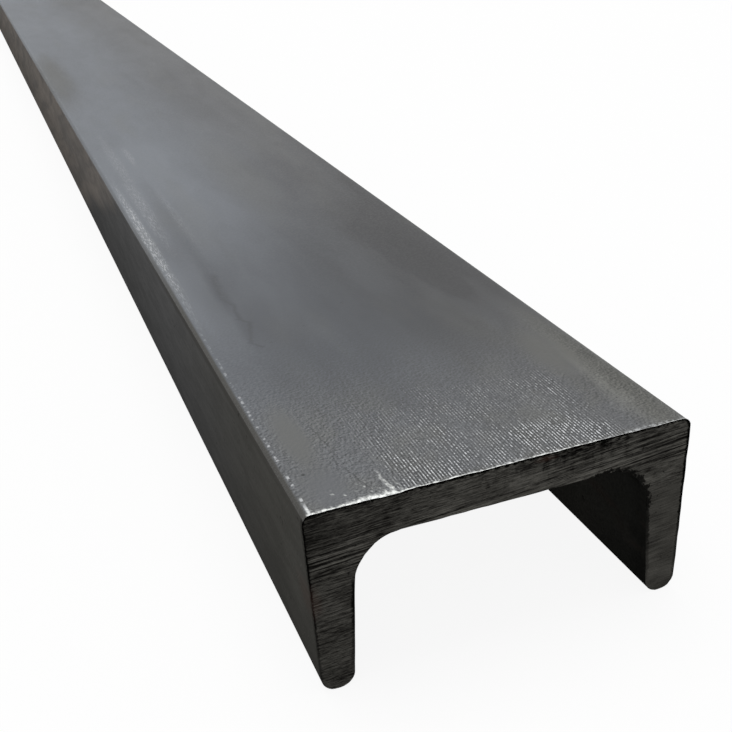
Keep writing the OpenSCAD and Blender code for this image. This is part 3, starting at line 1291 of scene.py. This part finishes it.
        root = net.product(
            net.ramp(far, 0.75, 0.4),
            net.band(across, centre - 2.5, self.half - 3.0, 1.5),
            net.band(up, low - 1.0, self.under + 1.0, 1.0),
            0.9,
        )
        torn = net.product(
            net.ramp(up, self.top - 2.1, self.top - 0.7),
            net.ramp(net.band(across, 4.0, 15.0, 2.5), 0.0, 1.0, 0.5, 1.0),
            net.ramp(crumbs, 0.42, 0.58, 1.0, 0.2),
        )
        return net.most(rim, inner, root, torn, net.product(pits, 0.7))


# --- The studio ------------------------------------------------------------------------------

FLOOR_REACH = 12.0  # From the middle of the floor to its edges.
SENSOR = 36.0  # Width of the camera's sensor in millimetres.
SEEN_FROM, SEEN_TO = 0.01, 60.0  # The nearest and furthest that the camera sees.


def seen_directly(net):
    """1 for rays of the camera, and for those seen in gloss or glass; 0 for all other light."""
    path = net.add("LightPath").outputs
    return net.most(path["Is Camera Ray"], path["Is Glossy Ray"], path["Is Transmission Ray"])


def floor_material(studio):
    """A pale floor that shows a faint shadow and gives little light back to the bar's sides."""
    material = bpy.data.materials.new("pale_floor")
    material.use_nodes = True
    net = Net(material.node_tree)
    shader = material.node_tree.nodes["Principled BSDF"]
    seen = seen_directly(net)
    speckle = net.noise(net.add("TexCoord").outputs["Object"], 60.0)
    tone = net.ramp(speckle, 0.3, 0.7, studio.floor_tone - 0.01, studio.floor_tone)
    pale = net.add("CombineColor", {0: tone, 1: tone, 2: tone}).outputs[0]
    colour = net.blend(seen, [studio.floor_bounce] * 3, pale)
    net.tree.links.new(colour, shader.inputs["Base Color"])
    shader.inputs["Roughness"].default_value = 0.9
    shader.inputs["Specular IOR Level"].default_value = 0.0
    white = net.add("Emission", {"Color": (1.0, 1.0, 1.0), "Strength": 1.0})
    share_of_white = net.product(seen, 1.0 - studio.floor_shadow)
    mixed = net.add("MixShader", {0: share_of_white, 1: shader.outputs[0], 2: white.outputs[0]})
    output = material.node_tree.nodes["Material Output"]
    net.tree.links.new(mixed.outputs[0], output.inputs["Surface"])
    return material


def build_studio(scene, section, studio):
    """Floor, key light, surrounding light and camera."""
    bm = bmesh.new()
    bmesh.ops.create_grid(bm, x_segments=8, y_segments=8, size=FLOOR_REACH)
    mesh = bpy.data.meshes.new("floor")
    bm.to_mesh(mesh)
    bm.free()
    floor = bpy.data.objects.new("floor", mesh)
    scene.collection.objects.link(floor)
    mesh.materials.append(floor_material(studio))

    lamp = bpy.data.lights.new("key_light", "SUN")
    lamp.energy = studio.key
    lamp.angle = studio.key_softness
    key = bpy.data.objects.new("key_light", lamp)
    key.rotation_euler = (0.0, -studio.key_lean, 0.0)
    scene.collection.objects.link(key)

    world = bpy.data.worlds.new("studio")
    scene.world = world
    world.use_nodes = True
    net = Net(world.node_tree)
    seen = seen_directly(net)
    background = world.node_tree.nodes["Background"]
    background.inputs["Color"].default_value = (1.0, 1.0, 1.0, 1.0)
    strength = net.add("MapRange", {"Value": seen, "To Min": studio.fill, "To Max": 1.0})
    net.tree.links.new(strength.outputs["Result"], background.inputs["Strength"])

    lens = bpy.data.cameras.new("camera")
    lens.sensor_width = SENSOR
    lens.lens = studio.lens
    lens.shift_x, lens.shift_y = studio.camera_shift
    lens.clip_start, lens.clip_end = SEEN_FROM, SEEN_TO
    camera = bpy.data.objects.new("camera", lens)
    dip, turn = studio.camera_dip, studio.camera_turn
    level = math.cos(dip)
    ahead = Vector((-level * math.cos(turn), level * math.sin(turn), -math.sin(dip)))
    facing = ahead.to_track_quat("-Z", "Y").to_matrix().to_4x4()
    place = Vector(studio.camera_place) + Vector((section.length / 2, 0, 0))
    rolled = facing @ Matrix.Rotation(-studio.camera_roll, 4, "Z")
    camera.matrix_world = Matrix.Translation(place) @ rolled
    scene.collection.objects.link(camera)
    scene.camera = camera


# --- Operators and panel ---------------------------------------------------------------------


class CHANNEL_OT_bar(bpy.types.Operator):
    """Build the rolled bar and give it its steel finishes"""

    bl_idname = "channel.bar"
    bl_label = "Channel bar"

    def execute(self, context):
        scene = context.scene
        section = scene.channel_section
        mesh = build_bar(section, scene.channel_surface)
        bar = bpy.data.objects.new(BAR_NAME, mesh)
        scene.collection.objects.link(bar)
        finishes = Finishes(section, scene.channel_colours)
        for finish in (finishes.web, finishes.flange, finishes.sawn, finishes.inside):
            mesh.materials.append(finish())
        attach(bar, "root")
        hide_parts("channel")
        return {"FINISHED"}


class CHANNEL_OT_studio(bpy.types.Operator):
    """Lay the pale floor and set the light and the camera"""

    bl_idname = "channel.studio"
    bl_label = "Channel studio"

    def execute(self, context):
        scene = context.scene
        build_studio(scene, scene.channel_section, scene.channel_studio)
        scene.view_settings.view_transform = "Standard"
        return {"FINISHED"}


class CHANNEL_PT_panel(bpy.types.Panel):
    """Sizes, relief, colours and studio of the channel"""

    bl_idname = "CHANNEL_PT_panel"
    bl_label = "Rolled Steel Channel"
    bl_space_type = "VIEW_3D"
    bl_region_type = "UI"
    bl_category = "Channel"

    def draw(self, context):
        for group in GROUPS:
            box = self.layout.box()
            values = getattr(context.scene, group)
            for name in values.bl_rna.properties.keys():
                if name not in ("rna_type", "name"):
                    box.prop(values, name)
        for operator in (CHANNEL_OT_studio, CHANNEL_OT_bar):
            self.layout.operator(operator.bl_idname)


CLASSES = (*GROUPS.values(), CHANNEL_OT_bar, CHANNEL_OT_studio, CHANNEL_PT_panel)


def register():
    """Adds the classes and the scene's properties."""
    for item in CLASSES:
        bpy.utils.register_class(item)
    for name, group in GROUPS.items():
        setattr(bpy.types.Scene, name, bpy.props.PointerProperty(type=group))


def unregister():
    """Takes the scene's properties and the classes away again."""
    for name in GROUPS:
        delattr(bpy.types.Scene, name)
    for item in reversed(CLASSES):
        bpy.utils.unregister_class(item)


def main():
    """Builds the studio and the bar."""
    register()
    bpy.ops.channel.studio()
    bpy.ops.channel.bar()


if __name__ == "__main__":
    main()
